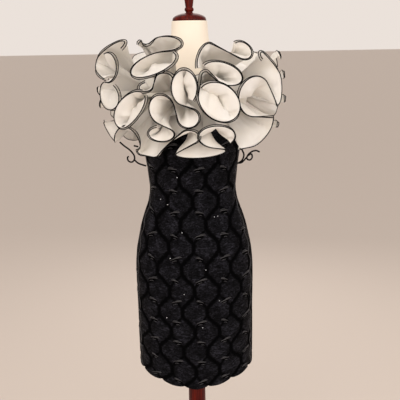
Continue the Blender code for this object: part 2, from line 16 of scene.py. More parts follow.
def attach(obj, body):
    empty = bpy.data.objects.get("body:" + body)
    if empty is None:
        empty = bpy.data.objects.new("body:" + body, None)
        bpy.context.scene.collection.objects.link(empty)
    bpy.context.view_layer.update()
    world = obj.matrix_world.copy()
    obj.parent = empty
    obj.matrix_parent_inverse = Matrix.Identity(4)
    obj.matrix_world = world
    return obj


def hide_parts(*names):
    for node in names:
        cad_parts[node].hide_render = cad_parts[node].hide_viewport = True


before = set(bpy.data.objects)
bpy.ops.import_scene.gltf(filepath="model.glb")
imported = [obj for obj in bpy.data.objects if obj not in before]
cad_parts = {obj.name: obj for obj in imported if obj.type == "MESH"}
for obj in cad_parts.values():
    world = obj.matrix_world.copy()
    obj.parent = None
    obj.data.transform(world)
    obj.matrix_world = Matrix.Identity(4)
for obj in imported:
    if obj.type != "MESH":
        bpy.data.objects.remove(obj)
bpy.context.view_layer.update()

# General sizes
MM = 0.001
TURN = 2 * math.pi
SEAM_GAP = 0.3 * MM
CLOTH_WELD = 0.05 * MM
WOOD_WELD = 0.02 * MM

# Dress form
BASE_RADIUS = 0.200
BASE_HEIGHT = 0.028
POLE_RADIUS = 0.028
SOCKET_RADIUS = 0.042
SOCKET_HEIGHT = 0.034
FORM_BOTTOM = 1.000
NECK_TOP = 1.787
CAP_RADIUS = 0.0475
CAP_HEIGHT = 0.022
CAP_RIM = 0.004
ROUND_SIDES = 96
CORNER_ROUNDING = 4 * MM
CORNER_STEPS = 5
CAP_ARC = 1.25
CAP_STEPS = 16
SHARP_WOOD = math.radians(50)
SHARP_COVER = math.radians(60)
TORSO_COLUMNS = 129
TORSO_STRETCH_ROWS = 40
TORSO_STRETCHES = ((FORM_BOTTOM, 1.64), (1.645, NECK_TOP))
TORSO_UNDER_DRESS = -1.2 * MM
TORSO_UV_SIZE = (1.0, 0.8)
FINIAL_STEPS = 60
FINIAL = MM * np.array((
    # height over the cap, radius, in mm
    (0, 10), (2, 9.5), (5, 12.2), (8.5, 13), (12, 12.2), (14.5, 10), (17, 10.5),
    (26, 11.8), (37, 13), (48, 13.8), (58, 13.2), (66.5, 10.8), (72, 6.5), (73.5, 0),
))

# The figure that the form and the dress share
FIGURE = MM * np.array((
    # height, half width, front, back, in mm
    (670, 174, 119, 112),
    (740, 175.5, 119, 113),
    (825, 175.5, 118, 113),
    (932, 174.5, 117, 114),
    (1000, 175, 117, 117),
    (1056, 174.5, 116, 119),
    (1116, 169.5, 112, 118),
    (1156, 161.5, 108, 113),
    (1195, 152.5, 104, 106),
    (1234, 140, 99, 97),
    (1272, 127, 95, 89),
    (1310, 121.5, 95, 84),
    (1347, 124, 101, 84),
    (1400, 130, 112, 88),
    (1450, 138, 120, 93),
    (1500, 146, 118, 98),
    (1550, 155, 107, 101),
    (1600, 166, 92, 100),
    (1630, 172, 80, 94),
    (1650, 170, 71, 86),
    (1662, 156, 64, 78),
    (1675, 128, 57.5, 70),
    (1690, 93, 53, 62),
    (1705, 69, 51.5, 56),
    (1725, 56.5, 51, 53),
    (1750, 52.5, 50.5, 51.5),
    (NECK_TOP / MM, 50, 50, 50),
))
FIGURE_SQUARENESS = 2.25

# Sheath
SHEATH_TOP = 1.500
SHEATH_HEM = 0.692
SHEATH_EASE = 2.8 * MM
SHEATH_WALL = 2.0 * MM
HEM_RISE_AT_SIDES = 0.040
HEM_RISE_POWER = 1.5
HEM_RISE_REACH = 0.300
HEM_LOBE = 0.006
HEM_LOBE_REACH = 0.050
DIAMOND_WIDTH = 0.0720
DIAMOND_SIDE = 0.0270
DIAMOND_PITCH = 0.0673
DIAMOND_FIRST_ROW = 1.3534
GROOVE_HALF_WIDTH = 3.2 * MM
GROOVE_FLOOR = 0.6 * MM
CUSHION_HEIGHT = 3.4 * MM
CUSHION_SLOPE = 2.2
# How the painted shade of the grooves fades: full RELIEF_START outside a diamond's edge, gone
# RELIEF_SLOPE groove half widths further in
RELIEF_START = 0.5 * MM
RELIEF_SLOPE = 2.4
SHEATH_STEP = 3.2 * MM
SHEATH_HALF_GIRTH = 0.28
LACE_OUT = SHEATH_EASE + SHEATH_WALL
LOOP_STRIP_LIFT = 2.2 * MM
RUCHE_UNEVEN = 1.4 * MM
RUCHE_WAVES = (
    # up and across, in radians a metre
    (310, 170),
    (190, -230),
)
QUARTER_COLUMNS = 97
QUARTER_ROWS = 120
END_MARGIN = 0.02
PANELS = {
    # whether it is the front, and its first and last share of that side
    "front": (True, -1.0, 1.0),
    "back_left": (False, -1.0, 0.0),
    "back_right": (False, 0.0, 1.0),
}

# Satin loops between the diamonds, the holes in them, which get painted shade, and the tapes along
# the sides
LOOP_COLUMN = 0.25
LOOP_GRID = (11, 4)
LOOP_LENGTH = 30 * MM
LOOP_UNEVEN = 0.25
LOOP_BEATS = (137, 53)
LOOP_SHIFT = 2.5 * MM
LOOP_END_SHARE = 0.02
LOOP_WALL = 0.5 * MM
LOOP_SEAT = 0.8
LOOP_BULGE = 3.6 * MM
LOOP_ROLL = (0.15, 0.75)
LOOP_TILT = 0.16
LOOP_ARCH = 1.6 * MM
LOOP_STRANDS = (
    # height and width in mm, share of the length, shift along it
    (0.0, 3.6, 1.0, 0.0),
    (4.6, 2.4, 0.60, 0.22),
    (-7.5, 2.2, 0.42, -0.30),
)
HOLE_LENGTH = 17 * MM
HOLE_HEIGHT = 7.0 * MM
HOLE_DROP = 2.5 * MM
HOLE_CORE = 1.6
HOLE_FADE = 2.2
TAPE_SHARES = (0.80, 1.0)
TAPE_WAVE = 4.0 * MM
TAPE_PERIOD = 62 * MM
TAPE_PHASE = 5
TAPE_RADIUS = 1.3 * MM
TAPE_STEPS = 420
TAPE_END_GAP = 4 * MM
TAPE_SEAT = 0.9
SEAM_TAPE_SEAT = 0.8
SEAM_TAPE_SWELL = 0.5
BEAD_RADIUS = 1.5 * MM
BEADS = (
    # across the front, height, in mm
    (-93, 1291), (-71, 1278), (-41, 1364), (60, 1240), (70, 1241), (-32, 1197),
    (-68, 1120), (34, 1085), (-30, 1010), (72, 985), (-84, 930), (22, 900),
)

# Collar base
YOKE_BOTTOM = SHEATH_TOP + SEAM_GAP
YOKE_NECKLINE = 1.690
YOKE_SCOOP_DEPTH = 0.050
YOKE_SCOOP_SPREAD = math.radians(27)
YOKE_OUT = 1.8 * MM
YOKE_WALL = 1.2 * MM
YOKE_FLARE_SHARE = 0.05
YOKE_COLUMNS = 161
YOKE_ROWS = 26
YOKE_UV_SIZE = (1.0, 0.2)

# Flounces
EDGE_HALF_WIDTH = 0.272
EDGE_FRONT = 0.235
EDGE_BACK = 0.240
EDGE_MIDDLE = 1.585
EDGE_REACH = 0.170
EDGE_DRAW_IN_ABOVE = 0.045
EDGE_DRAW_IN_BELOW = 0.075
AROUND_RADIUS = 0.250
PLY_WALL = 0.4 * MM
PLY_GAP = 6.0 * MM
CORD_RADIUS = 1.4 * MM
CORD_RADIUS_BEHIND = 1.1 * MM
LOOSE_CORD_RADIUS = 2.3 * MM
EDGE_LOWEST = 1.415
EDGE_HIGHEST = 1.745
ROOT_LOWEST = 1.517
ROOT_HIGHEST = 1.657
ROOT_SCOOP_SHARE = 0.42
ROOT_AROUND_SHARE = 0.95
ROOT_OUT = 3.4 * MM
EDGE_STEP = 4.5 * MM
DEPTH_ROWS = 22
SLIT_LENGTH = 0.30
SLIT_WIDTH = 0.006
SLIT_SWAY = 9.0 * MM
SLIT_SWAY_WAVES = 2.6
SLIT_SWAY_DRIFT = 1.7
LONG_POWER = 1.8
SHORT_POWER = 8.0
LEVEL_POWER = 0.5
MOUTH_BEND = 0.7
CREASE_DEPTH = 1.9
CREASE_RISE = 0.35
CREASE_FADE = 0.04
CREASE_REACH_SHARE = 0.35
CREASE_SLANT = 3.0
OUTWARD_POWER = 0.88
CROSSING_TRIES = 720
LEVELS = np.linspace(0.0, 1.0, DEPTH_ROWS) ** LEVEL_POWER

# Each flounce's first pair is how far its edge winds round its first and last folds, in degrees.
# A row for each fold of its free edge follows, as the solids have them: around is the angle from
# centre front, towards +X, in degrees; height, wide and tall are the mouth's middle and half
# sizes in mm; tilt is in degrees; turn is 1 where the edge winds anticlockwise; proud is how far
# the fold stands out, in mm. The creases then run from a fold's bottom towards its edge: place is
# how far round the fold, from 0 to 1; slant is its drift along the edge, depth is into the fold,
# less than 0 for a ridge, and width is half its size, all in mm; reach is how near the edge it
# comes, from 0 to 1.
Fold = namedtuple("Fold", "around height wide tall tilt turn proud")
Crease = namedtuple("Crease", "fold place slant depth width reach")
FRONT_FLOUNCES = {
    "neck_left": ((60, 120), (
        (-57.5, 1645, 5, 5, 0, -1, 2),
        (-80, 1677, 8, 9, 0, -1, 2),
        (-57, 1706, 66, 17, 22, -1, 0),
    ), (
        (1, 0.6, 10, -3, 12, 0.85), (2, 0.4, -8, 2.5, 10, 0.9),
    )),
    "neck_front": ((120, 320), (
        (-31, 1727, 4, 6, 0, -1, -4),
        (-26.3, 1739, 18, 13, 4, 1, -4),
        (-14, 1727, 42, 17, -3, -1, -4),
        (-20, 1677, 60, 24.5, 21, 1, 4),
    ), (
        (1, 0.5, 14, 4, 9, 0.95), (2, 0.55, -18, 3.5, 11, 0.92), (3, 0.15, 10, -3, 10, 0.92),
        (3, 0.4, -14, 4.5, 9, 0.88), (3, 0.62, 12, -3.5, 8, 0.8), (3, 0.85, -6, 3, 12, 0.94),
    )),
    "neck_right": ((150, 245), (
        (9.3, 1692, 18, 36, -24, -1, 0),
        (31.5, 1707, 27, 21, -10, 1, 4),
    ), (
        (0, 0.3, 16, 3.5, 12, 0.93), (0, 0.75, -12, -3, 9, 0.85), (1, 0.35, 10, 3, 9, 0.9),
        (1, 0.8, -6, -2.5, 10, 0.85),
    )),
    "scoop": ((250, 160), (
        (-24, 1622, 18, 11, 10, 1, 0),
        (-13.5, 1643, 20, 13, -4, -1, 0),
    ), (
        (0, 0.5, 6, 2, 7, 0.85), (1, 0.6, -8, 3, 7, 0.9),
    )),
    "breast_right": ((262, 340), (
        (18.5, 1652, 50, 26, -20, -1, 0),
        (8.6, 1649, 9, 9, 0, 1, 0),
        (15.8, 1582, 57, 42, -46, 1, 8),
    ), (
        (0, 0.25, 12, 3.5, 10, 0.9), (0, 0.55, -10, -3, 8, 0.82), (0, 0.8, 8, 3.5, 9, 0.92),
        (2, 0.18, -12, 4, 9, 0.92), (2, 0.34, 14, -3, 8, 0.8), (2, 0.52, -10, 4.5, 10, 0.94),
        (2, 0.7, 16, 3, 7, 0.84), (2, 0.9, -8, -2.5, 11, 0.86),
    )),
    "centre": ((300, 300), (
        (-2.8, 1620, 29, 43, 0, 1, 6),
        (-1, 1544, 25, 25, 20, -1, 4),
        (-15, 1565, 31, 38, 8, 1, 6),
        (-17.3, 1501, 34, 20, 4, -1, 5),
    ), (
        (0, 0.15, 8, 2.5, 8, 0.88), (0, 0.45, -10, 4, 7, 0.92), (0, 0.72, 8, -3, 9, 0.84),
        (0, 0.92, -5, 3.5, 6, 0.9), (1, 0.3, 8, 3, 8, 0.9), (1, 0.65, -9, -3, 7, 0.82),
        (2, 0.2, 12, 4.5, 8, 0.9), (2, 0.45, -14, -3.5, 9, 0.86), (2, 0.75, 10, 4, 8, 0.93),
        (3, 0.3, 6, 3, 6, 0.92), (3, 0.5, -6, -2, 6, 0.8), (3, 0.7, 4, 3, 7, 0.88),
    )),
    "shoulder_left": ((190, 305), (
        (-57, 1668, 52, 38, -10, -1, 0),
        (-55, 1595, 50, 37, -4, 1, -2),
    ), (
        (0, 0.3, -12, 3.5, 9, 0.92), (0, 0.65, 12, -3, 11, 0.84), (1, 0.2, 10, 3.5, 9, 0.9),
        (1, 0.5, -8, -3, 8, 0.82), (1, 0.78, 12, 4, 9, 0.92),
    )),
    "breast_left": ((0, 338), (
        (-36, 1562, 66, 30, 42, 1, 8),
    ), (
        (0, 0.12, 10, 3.5, 9, 0.9), (0, 0.34, -16, -3, 9, 0.84), (0, 0.58, 8, 4, 8, 0.93),
        (0, 0.82, -10, 3, 10, 0.88),
    )),
    "shoulder_right": ((200, 60), (
        (48, 1693, 9, 9, 0, -1, -4),
        (61, 1607, 26, 46, 6, -1, 0),
        (40, 1590, 54, 52, 0, 1, -4),
        (59, 1519, 8, 8, 0, -1, -2),
        (50, 1489, 52, 38, 20, -1, 0),
        (38, 1452, 6, 5, 0, -1, -4),
    ), (
        (1, 0.3, 14, 3, 12, 0.92), (1, 0.65, -10, -3, 10, 0.85), (2, 0.15, 12, 4, 10, 0.9),
        (2, 0.38, -16, -4, 9, 0.84), (2, 0.6, 14, 4.5, 9, 0.92), (2, 0.85, -8, 3.5, 12, 0.9),
        (4, 0.25, -14, 3.5, 12, 0.95), (4, 0.6, 12, -3, 14, 0.9),
    )),
    "hem_front": ((200, 290), (
        (-70, 1490, 20, 27, 0, 1, 0),
        (-43, 1482, 36, 35, 0, -1, 0),
        (-41, 1441, 6, 6, 0, 1, 0),
        (-29, 1444, 24, 14, 10, 1, -2),
        (-0.6, 1492, 24.5, 19, -8, -1, -2),
        (7, 1442, 80, 14, 2, 1, -6),
        (16, 1490, 50, 31, -8, -1, 4),
    ), (
        (1, 0.25, 10, 3.5, 9, 0.9), (1, 0.7, -12, -3, 9, 0.85), (3, 0.5, 10, 3.5, 12, 0.95),
        (4, 0.35, -8, 3, 8, 0.9), (4, 0.75, 6, -2.5, 7, 0.82), (5, 0.5, 8, 2.5, 16, 0.92),
        (6, 0.3, -10, 3.5, 8, 0.9), (6, 0.55, 8, 3, 7, 0.85), (6, 0.8, -6, -3, 10, 0.88),
    )),
}
Tier = namedtuple("Tier", "height folds wide tall swing start stop")
BACK_FLOUNCES = {
    # middle height, folds, half width, half height, swing up and down, first and last angle
    "neck_back": (1677, 9, 44, 11, 11, 86, 264),
    "shoulder_back": (1613, 10, 45, 15, 16, 83, 268),
    "blade_back": (1541, 9, 48, 16, 18, 81, 267),
    "hem_back": (1469, 9, 47, 14, 16, 83, 267),
}
BACK_END_SWEEP = 200
BACK_TILT = 9
BACK_VARIETY = 0.12
BACK_SHIFT = 2
BACK_PROUD = 5
# How fast the unevenness runs from fold to fold, from crease to crease and from tier to tier
FOLD_BEAT = 2.4
TILT_BEAT = 1.7
CREASE_BEATS = (3.1, 1.9)
TIER_BEAT = 0.01

# The creases of each fold of a back tier, and how far each of their values varies
BACK_CREASES = (
    # place, slant, depth, width, reach
    (0.22, 0, -3.0, 9, 0.88),
    (0.58, 0, 3.6, 9, 0.88),
)
BACK_CREASE_SPREAD = (0.12, 13, 1, 2, 0.05)

# Loose cord ends, by points chosen on the photograph's curls, in mm
LOOSE_CORDS = (
    ((-198, -110, 1466), (-186, -118, 1457), (-170, -124, 1446), (-159, -127, 1432),
     (-158, -128, 1420), (-166, -129, 1413), (-175, -129, 1417), (-177, -128, 1426),
     (-173, -127, 1429)),
    ((-160, -112, 1456), (-146, -112, 1452), (-132, -110, 1446)),
    ((-160, -124, 1420), (-150, -118, 1408), (-137, -108, 1400), (-130, -100, 1396)),
    ((134, -92, 1462), (140, -100, 1440), (146, -106, 1424), (141, -104, 1408),
     (130, -96, 1398)),
    ((128, -96, 1398), (140, -106, 1402), (150, -112, 1414), (158, -116, 1424),
     (166, -118, 1428), (168, -118, 1418), (162, -117, 1411), (154, -115, 1414),
     (156, -115, 1424), (166, -118, 1434), (178, -121, 1438), (188, -121, 1434)),
)
LOOSE_CORD_STEPS = 48

# Camera, lamps and floor
CAMERA_PLACE = (0.021, -1.65, 1.72)
CAMERA_DOWN = 15.4
CAMERA_ROLL = -1.0
LENS = 50.4
SENSOR_WIDTH = 36.0
LAMPS = (
    # name, place, diameter, power, colour
    ("front", (0.1, -2.5, 1.9), 4.0, 38, "#FFF8F0"),
    ("key", (-1.2, -2.4, 3.2), 2.2, 18, "#FFF7EE"),
    ("fill", (2.4, -2.0, 2.0), 2.6, 16, "#FAF6F6"),
    ("back", (0.3, 2.2, 2.4), 2.6, 26, "#FFF8F0"),
)
LAMP_AIM = (0.0, 0.0, 1.35)
SKY_COLOUR = "#DDD4CD"
SKY_STRENGTH = 1.15
FLOOR_HALF_WIDTH = 150.0


def unit(vectors):
    """Vectors of length one."""
    return vectors / np.linalg.norm(vectors, axis=-1, keepdims=True)


def smooth_table(table, x):
    """Smooth curves through a table's columns, at many places, which never swing past it."""
    xs = table[:, 0]
    ys = table[:, 1:]
    step = np.diff(xs)[:, None]
    slope = np.diff(ys, axis=0) / step
    tangent = np.zeros_like(ys)
    tangent[0] = slope[0]
    tangent[-1] = slope[-1]
    before = 2 * step[1:] + step[:-1]
    after = step[1:] + 2 * step[:-1]
    same = slope[:-1] * slope[1:] > 0
    safe = np.where(same, slope[:-1], 1.0), np.where(same, slope[1:], 1.0)
    tangent[1:-1] = np.where(same, (before + after) / (before / safe[0] + after / safe[1]), 0.0)
    x = np.clip(x, xs[0], xs[-1])
    i = np.clip(np.searchsorted(xs, x) - 1, 0, len(xs) - 2)
    h = step[i, 0]
    t = ((x - xs[i]) / h)[..., None]
    h = h[..., None]
    rise = (1 + 2 * t) * (1 - t) ** 2 * ys[i] + t * t * (3 - 2 * t) * ys[i + 1]
    return rise + h * (t * (1 - t) ** 2 * tangent[i] - t * t * (1 - t) * tangent[i + 1])


def rounded(value):
    """Sine or cosine of a rounded, slightly squared oval."""
    return np.sign(value) * np.abs(value) ** (2 / FIGURE_SQUARENESS)


def figure_point(around, height):
    """Points of the figure's surface at angles and heights."""
    around, height = np.broadcast_arrays(around, height)
    half_width, front, back = np.moveaxis(smooth_table(FIGURE, height), -1, 0)
    across = rounded(np.sin(around))
    ahead = rounded(np.cos(around))
    depth = np.where(ahead > 0, front, back)
    return np.stack([half_width * across, -depth * ahead, height], axis=-1)


def figure_normal(around, height):
    """The surface's outward normals, from points close by."""
    step = math.radians(2)
    along = figure_point(around + step, height) - figure_point(around - step, height)
    low = np.maximum(height - 4 * MM, FIGURE[0, 0])
    high = np.minimum(height + 4 * MM, FIGURE[-1, 0])
    rise = figure_point(around, high) - figure_point(around, low)
    return unit(np.cross(along, rise))


def figure_offset(around, height, out):
    """Points at a distance outside the figure."""
    normal = figure_normal(around, height)
    return figure_point(around, height) + out[..., None] * normal


def edge_surface(around, height, proud):
    """The rounded surface that the free edges lie on, and its outward directions."""
    lift = (height - EDGE_MIDDLE) / EDGE_REACH
    drawn = np.where(lift > 0, EDGE_DRAW_IN_ABOVE * lift ** 3, EDGE_DRAW_IN_BELOW * lift ** 2)
    half_width = EDGE_HALF_WIDTH - drawn
    depth = np.where(np.cos(around) > 0, EDGE_FRONT, EDGE_BACK) - drawn
    outward = unit(np.stack([np.sin(around) / half_width, -np.cos(around) / depth,
                             np.zeros_like(around)], axis=-1))
    place = np.stack([half_width * np.sin(around), -depth * np.cos(around), height], axis=-1)
    return place + proud[..., None] * outward, outward


def fold_point(fold, phase):
    """A point of a fold's mouth, on the flattened edge surface."""
    tilt = math.radians(fold.tilt)
    across = fold.wide * MM * math.cos(phase)
    up = fold.tall * MM * math.sin(phase)
    centre = math.radians(fold.around) * AROUND_RADIUS
    return np.array([centre + across * math.cos(tilt) - up * math.sin(tilt),
                     fold.height * MM + across * math.sin(tilt) + up * math.cos(tilt)])


def phase_heading(fold, heading):
    """Where on a fold the edge runs in a heading, given which way it winds."""
    local = heading - math.radians(fold.tilt)
    return math.atan2(-fold.turn * math.cos(local) / fold.wide,
                      fold.turn * math.sin(local) / fold.tall)


def crossing(leaving, arriving):
    """Phases where a straight stretch leaves one fold and reaches the next along its edge."""
    tries = []
    for heading in np.arange(CROSSING_TRIES) * TURN / CROSSING_TRIES:
        start = phase_heading(leaving, heading)
        stop = phase_heading(arriving, heading)
        run = fold_point(arriving, stop) - fold_point(leaving, start)
        miss = abs((math.atan2(run[1], run[0]) - heading + math.pi) % TURN - math.pi)
        tries.append((miss, start, stop))
    return min(tries)[1:]


def winding_edge(folds, end_sweeps):
    """The free edge as a belt round its folds: points, how far proud, and each fold's stretch."""
    pairs = [crossing(a, b) for a, b in zip(folds, folds[1:])]
    first_sweep, last_sweep = (math.radians(sweep) for sweep in end_sweeps)
    points = []
    proud = []
    stretches = []
    for i, fold in enumerate(folds):
        arrive = pairs[i - 1][1] if i > 0 else None
        leave = pairs[i][0] if i < len(folds) - 1 else None
        if leave is None:
            sweep = last_sweep
        elif arrive is None:
            sweep = first_sweep
        else:
            sweep = (fold.turn * (leave - arrive)) % TURN
        if arrive is None and leave is None:
            arrive = 0.5 * (TURN - sweep) * fold.turn
        elif arrive is None:
            arrive = leave - fold.turn * sweep
        mean = 0.5 * (fold.wide + fold.tall) * MM
        steps = max(3, round(sweep * mean / EDGE_STEP))
        stretches.append((len(points), len(points) + steps))
        for k in range(steps + 1):
            points.append(fold_point(fold, arrive + fold.turn * sweep * k / steps))
            proud.append(fold.proud * MM)
        if leave is not None:
            origin = points[-1]
            following = folds[i + 1]
            run = fold_point(following, pairs[i][1]) - origin
            between = int(np.linalg.norm(run) / EDGE_STEP)
            for t in np.arange(1, between + 1) / (between + 1):
                points.append(origin + run * t)
                proud.append(MM * (fold.proud + (following.proud - fold.proud) * t))
    return np.array(points), np.array(proud), stretches


def neckline(around):
    """Height of the collar base's upper edge, scooped at centre front."""
    turn = (around + math.pi) % TURN - math.pi
    return YOKE_NECKLINE - YOKE_SCOOP_DEPTH * np.exp(-(turn / YOKE_SCOOP_SPREAD) ** 2)


def root_place(around, height):
    """Where the layout's point is sewn to the collar base."""
    angle = around * ROOT_AROUND_SHARE
    highest = ROOT_HIGHEST - ROOT_SCOOP_SHARE * (YOKE_NECKLINE - neckline(angle))
    share = (height - EDGE_LOWEST) / (EDGE_HIGHEST - EDGE_LOWEST)
    level = ROOT_LOWEST + share * (highest - ROOT_LOWEST)
    return figure_offset(angle, level, np.full_like(angle, ROOT_OUT))


def flounce_grid(folds, end_sweeps):
    """Rows of points from seam to free edge, the edge's windings and its folds' stretches."""
    edge, proud, stretches = winding_edge(folds, end_sweeps)
    index = np.arange(len(edge))
    middles = [0.5 * (first + last) for first, last in stretches]

    def follow(values):
        return np.interp(index, middles, values)

    centre = np.stack([follow([math.radians(f.around) * AROUND_RADIUS for f in folds]),
                       follow([f.height * MM for f in folds])], axis=-1)
    slit = follow([f.tilt + (90 if f.tall > f.wide else 0) for f in folds]) * TURN / 360
    turn = follow([f.turn for f in folds])
    tip, outward = edge_surface(edge[:, 0] / AROUND_RADIUS, edge[:, 1], proud)
    mouth, _ = edge_surface(centre[:, 0] / AROUND_RADIUS, centre[:, 1], proud)
    root = root_place(centre[:, 0] / AROUND_RADIUS, centre[:, 1])
    upward = np.array([0.0, 0.0, 1.0])
    level_way = unit(np.cross(upward, outward))
    along = np.cos(slit)[:, None] * level_way + np.sin(slit)[:, None] * upward
    over = -np.sin(slit)[:, None] * level_way + np.cos(slit)[:, None] * upward
    offset = tip - mouth
    parts = [np.sum(offset * way, axis=1, keepdims=True) for way in (along, over, outward)]
    size = follow([max(f.wide, f.tall) for f in folds])[:, None] * MM
    sway = SLIT_SWAY * np.sin(SLIT_SWAY_WAVES * parts[0] / size
                              + SLIT_SWAY_DRIFT * index[:, None] / len(index))
    reach = mouth - root
    ahead = np.sum(reach * outward, axis=1, keepdims=True) * outward
    rows = []
    for v in LEVELS:
        long_share = SLIT_LENGTH + (1 - SLIT_LENGTH) * v ** LONG_POWER
        short_share = SLIT_WIDTH + (1 - SLIT_WIDTH) * v ** SHORT_POWER
        bend = v + MOUTH_BEND * v * (1 - v)
        rows.append(root + (reach - ahead) * bend + ahead * v ** OUTWARD_POWER
                    + long_share * parts[0] * along + short_share * parts[1] * over
                    + 4 * v * (1 - v) * sway * over + v * parts[2] * outward)
    return np.array(rows), turn, stretches


def crease_relief(creases, stretches, edge):
    """How deep the creases are at each row and column of a flounce's grid."""
    steps = np.linalg.norm(np.diff(edge, axis=0), axis=1)
    run = np.concatenate([[0.0], np.cumsum(steps)])
    level = LEVELS[:, None]
    relief = np.zeros((DEPTH_ROWS, len(edge)))
    for crease in creases:
        first, last = stretches[crease.fold]
        centre = np.interp(first + crease.place * (last - first), np.arange(len(edge)), run)
        line = centre + CREASE_SLANT * crease.slant * MM * (1 - level)
        stop = 1 - CREASE_REACH_SHARE * (1 - crease.reach)
        across = np.exp(-((run[None, :] - line) / (crease.width * MM)) ** 2)
        rise = np.clip(level / CREASE_RISE, 0, 1)
        fade = np.clip((stop - level) / CREASE_FADE, 0, 1)
        relief += CREASE_DEPTH * crease.depth * MM * across * rise * fade
    return relief


def grid_normals(grid):
    """Unit normals of a grid of points."""
    return unit(np.cross(np.gradient(grid, axis=1), np.gradient(grid, axis=0)))


def tier_folds(tier):
    """Folds of a back tier, which turn up and down by turns and differ a little in size."""
    rows = []
    for i in range(tier.folds):
        around = tier.start + (tier.stop - tier.start) * (i + 0.5) / tier.folds
        up = 1 if i % 2 == 0 else -1
        vary = math.sin(FOLD_BEAT * i + TIER_BEAT * tier.height)
        tilt = BACK_TILT * math.cos(TILT_BEAT * i + TIER_BEAT * tier.height)
        rows.append((around + BACK_SHIFT * vary, tier.height + up * tier.swing,
                     tier.wide * (1 + BACK_VARIETY * vary), tier.tall * (1 - BACK_VARIETY * vary),
                     tilt, -up, BACK_PROUD * vary))
    return rows


def tier_creases(tier):
    """Creases of a back tier: two for each fold, uneven like those at the front."""
    rows = []
    for i in range(tier.folds):
        for k, crease in enumerate(BACK_CREASES):
            vary = math.sin(CREASE_BEATS[0] * i + CREASE_BEATS[1] * k + TIER_BEAT * tier.height)
            rows.append([i] + [value + spread * vary
                               for value, spread in zip(crease, BACK_CREASE_SPREAD)])
    return rows


def srgb(code):
    """Linear colour, with alpha 1, of an sRGB hex value."""
    values = [int(code[i:i + 2], 16) / 255 for i in (1, 3, 5)]
    linear = [v / 12.92 if v <= 0.04045 else ((v + 0.055) / 1.055) ** 2.4 for v in values]
    return (*linear, 1.0)


def set_node(node, **values):
    """Give a node its settings, in small letters, and its sockets' constants and links.

    A list goes to the sockets that share a name.
    """
    for key, value in values.items():
        if key.islower():
            setattr(node, key, value)
            continue
        sockets = [socket for socket in node.inputs if socket.name == key.replace("_", " ")]
        for socket, item in zip(sockets, value if isinstance(value, list) else [value]):
            if isinstance(item, bpy.types.NodeSocket):
                node.id_data.links.new(item, socket)
            else:
                socket.default_value = item


def add_node(tree, kind, stops=(), **values):
    """Add a node with its values, and a colour ramp's stops, and give its outputs."""
    node = tree.nodes.new("ShaderNode" + kind)
    ramp = node.color_ramp.elements if stops else ()
    while len(ramp) < len(stops):
        ramp.new(0.5)
    for stop, (place, code) in zip(ramp, stops):
        stop.position = place
        stop.color = srgb(code)
    set_node(node, **values)
    return node.outputs


def blotches(size):
    """Scale of a noise whose blotches are about this size, in metres."""
    return 1.0 / size


def bands(size):
    """Scale of a wave that repeats at this size, in metres."""
    return TURN / (20 * size)


def new_material(name, **values):
    """A Principled material with its shader's constants, its shader, and what adds its nodes."""
    material = bpy.data.materials.new(name)
    material.use_nodes = True
    shader = material.node_tree.nodes["Principled BSDF"]
    set_node(shader, **values)
    return material, shader, partial(add_node, material.node_tree)


def silk_organza():
    """Plain-woven sheer silk, crisp and lightly lustrous: seen through where it is one ply."""
    material, shader, add = new_material(
        "silk_organza", Roughness=0.5, Sheen_Weight=0.15, Sheen_Roughness=0.4, Alpha=0.80,
        Specular_IOR_Level=0.3, Subsurface_Weight=0.4, Subsurface_Scale=2.5 * MM,
        Subsurface_Radius=(1.0, 0.95, 0.90))
    place = add("TexCoord")
    cloud = add("TexNoise", Scale=blotches(70 * MM), Detail=3.0, Vector=place["Object"])
    tint = add("ValToRGB", ((0.30, "#FBF5EB"), (0.52, "#FDF9F2"), (0.75, "#FFFCF8")),
               Fac=cloud["Fac"])
    crinkle = add("TexNoise", Scale=blotches(17 * MM), Detail=4.0, Distortion=0.6,
                  Vector=place["Object"])
    crinkled = add("Bump", Strength=0.35, Distance=1.2 * MM, Height=crinkle["Fac"])
    # Organza has a thread each 0.25 mm, drawn at 0.6 mm because a finer one wouldn't show
    threads = add("TexWave", bands_direction="X", Scale=bands(0.6 * MM), Distortion=1.0,
                  Vector=place["UV"])
    woven = add("Bump", Strength=0.06, Distance=0.2 * MM, Height=threads["Fac"],
                Normal=crinkled["Normal"])
    set_node(shader, Base_Color=tint["Color"], Normal=woven["Normal"])
    return material


def satin_cord():
    """Black rayon cord, twisted: matt with a soft shine along its strands."""
    material, shader, add = new_material("satin_cord", Base_Color=srgb("#0D0B0C"),
                                         Roughness=0.8, Specular_IOR_Level=0.15)
    strands = add("TexWave", bands_direction="DIAGONAL", Scale=bands(1.2 * MM),
                  Vector=add("TexCoord")["Object"])
    twisted = add("Bump", Strength=0.12, Distance=0.2 * MM, Height=strands["Fac"])
    set_node(shader, Normal=twisted["Normal"])
    return material


